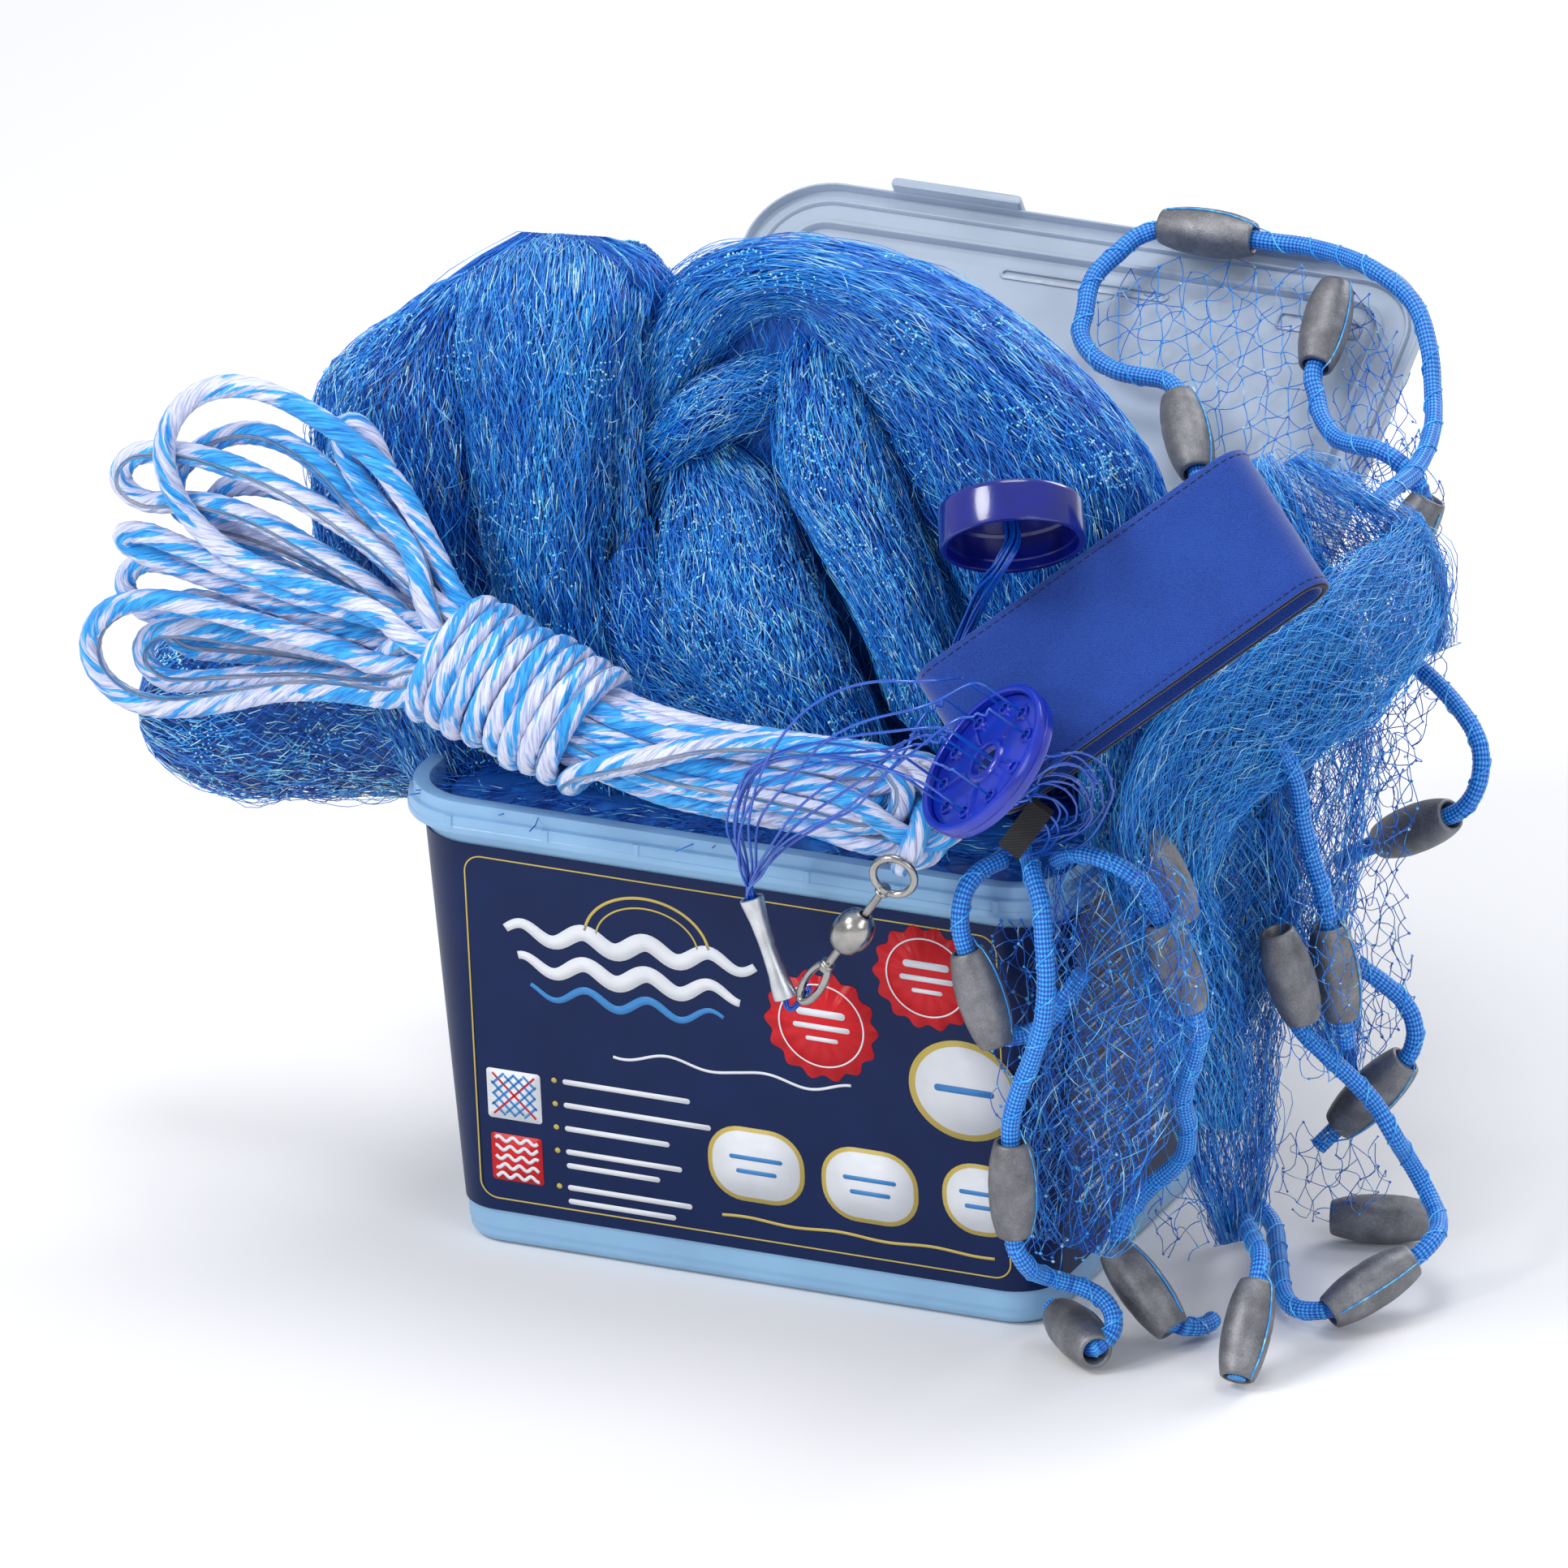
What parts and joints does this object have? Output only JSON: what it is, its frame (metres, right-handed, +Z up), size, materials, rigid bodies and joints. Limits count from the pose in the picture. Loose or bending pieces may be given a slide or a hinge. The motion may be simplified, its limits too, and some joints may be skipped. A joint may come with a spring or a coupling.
{
  "type": "cast net with storage tub",
  "caption": "Throwing net for bait fish bunched in its hinged storage tub, with weighted lead line, hand line, swivel, horn and wrist cuff.",
  "frame": {"origin": "middle of the tub's underside, on the surface it stands on", "axes": "+Z up, +X along the tub's long side to the right seen from the front, -Y towards the front, where the hand line hangs"},
  "size_m": [0.4615, 0.3986, 0.339],
  "materials": {
    "tub_plastic": "translucent polypropylene, satin gloss",
    "lid_plastic": "translucent moulded plastic",
    "label_print": "glossy printed film",
    "net_mono": "bunched cobalt monofilament netting",
    "net_mono_open": "open cobalt monofilament netting",
    "lead": "rough cast lead",
    "lead_line_braid": "woven blue cord",
    "hand_line_braid": "braided pale cord with blue flecks",
    "swivel_steel": "bright stainless steel",
    "sleeve_aluminium": "pressed bare metal",
    "brail_mono": "clear blue monofilament",
    "horn_plastic": "moulded plastic, satin gloss",
    "cap_plastic": "moulded plastic, high gloss",
    "cuff_neoprene": "foam laminate faced with knit",
    "cuff_strap": "black webbing"
  },
  "bodies": {
    "net_and_tub": {"tub_body": "tub_plastic", "label_wrap": "label_print", "hinge_strip": "lid_plastic", "net_in_tub": "net_mono", "net_heap_centre": "net_mono", "net_heap_left": "net_mono", "net_lobe_left": "net_mono", "net_drape_right": "net_mono", "net_curtain_right": "net_mono_open", "net_skirt_right": "net_mono_open", "net_front_curtain": "net_mono_open", "net_on_lid": "net_mono_open", "net_behind_heap": "net_mono", "lead_weight_01": "lead", "lead_weight_02": "lead", "lead_weight_03": "lead", "lead_weight_04": "lead", "lead_weight_05": "lead", "lead_weight_06": "lead", "lead_weight_07": "lead", "lead_weight_08": "lead", "lead_weight_09": "lead", "lead_weight_10": "lead", "lead_weight_11": "lead", "lead_weight_12": "lead", "lead_weight_13": "lead", "lead_weight_14": "lead", "lead_weight_15": "lead", "lead_weight_16": "lead", "lead_weight_17": "lead", "lead_line_top": "lead_line_braid", "lead_line_lid_side": "lead_line_braid", "lead_line_front_left": "lead_line_braid", "lead_line_front_mid": "lead_line_braid", "lead_line_corner": "lead_line_braid", "lead_line_floor": "lead_line_braid", "lead_line_side": "lead_line_braid", "lead_line_back": "lead_line_braid", "hand_line_loops_left": "hand_line_braid", "hand_line_wraps": "hand_line_braid", "hand_line_loops_right": "hand_line_braid", "hand_line_end": "hand_line_braid", "swivel_eye_upper": "swivel_steel", "swivel_eye_lower": "swivel_steel", "crimp_sleeve": "sleeve_aluminium", "brail_bundle": "brail_mono", "brail_loop": "brail_mono", "collar_cap": "cap_plastic", "cap_line_bundle": "brail_mono", "wrist_cuff": "cuff_neoprene", "cuff_strap": "cuff_strap"},
    "lid": {"tub_lid": "lid_plastic"},
    "barrel": {"swivel_barrel": "swivel_steel"},
    "horn": {"horn_ring": "horn_plastic", "horn_plate": "horn_plastic"}
  },
  "joints": [
    {"name": "lid_hinge", "type": "hinge", "parent": "net_and_tub", "child": "lid", "pos_m": [0, 0.0883, 0.1609], "axis": [-1, 0, 0], "range_deg": [0, 32]},
    {"name": "swivel_barrel_spin", "type": "hinge", "parent": "net_and_tub", "child": "barrel", "pos_m": [0.0587, -0.11542, 0.15249], "axis": [-0.5702, 0.0924, -0.8163], "continuous": true},
    {"name": "horn_slide", "type": "slide", "parent": "net_and_tub", "child": "horn", "axis": [-0.5701, -0.485, 0.6631], "range_m": [-0.003, 0.012]}
  ]
}
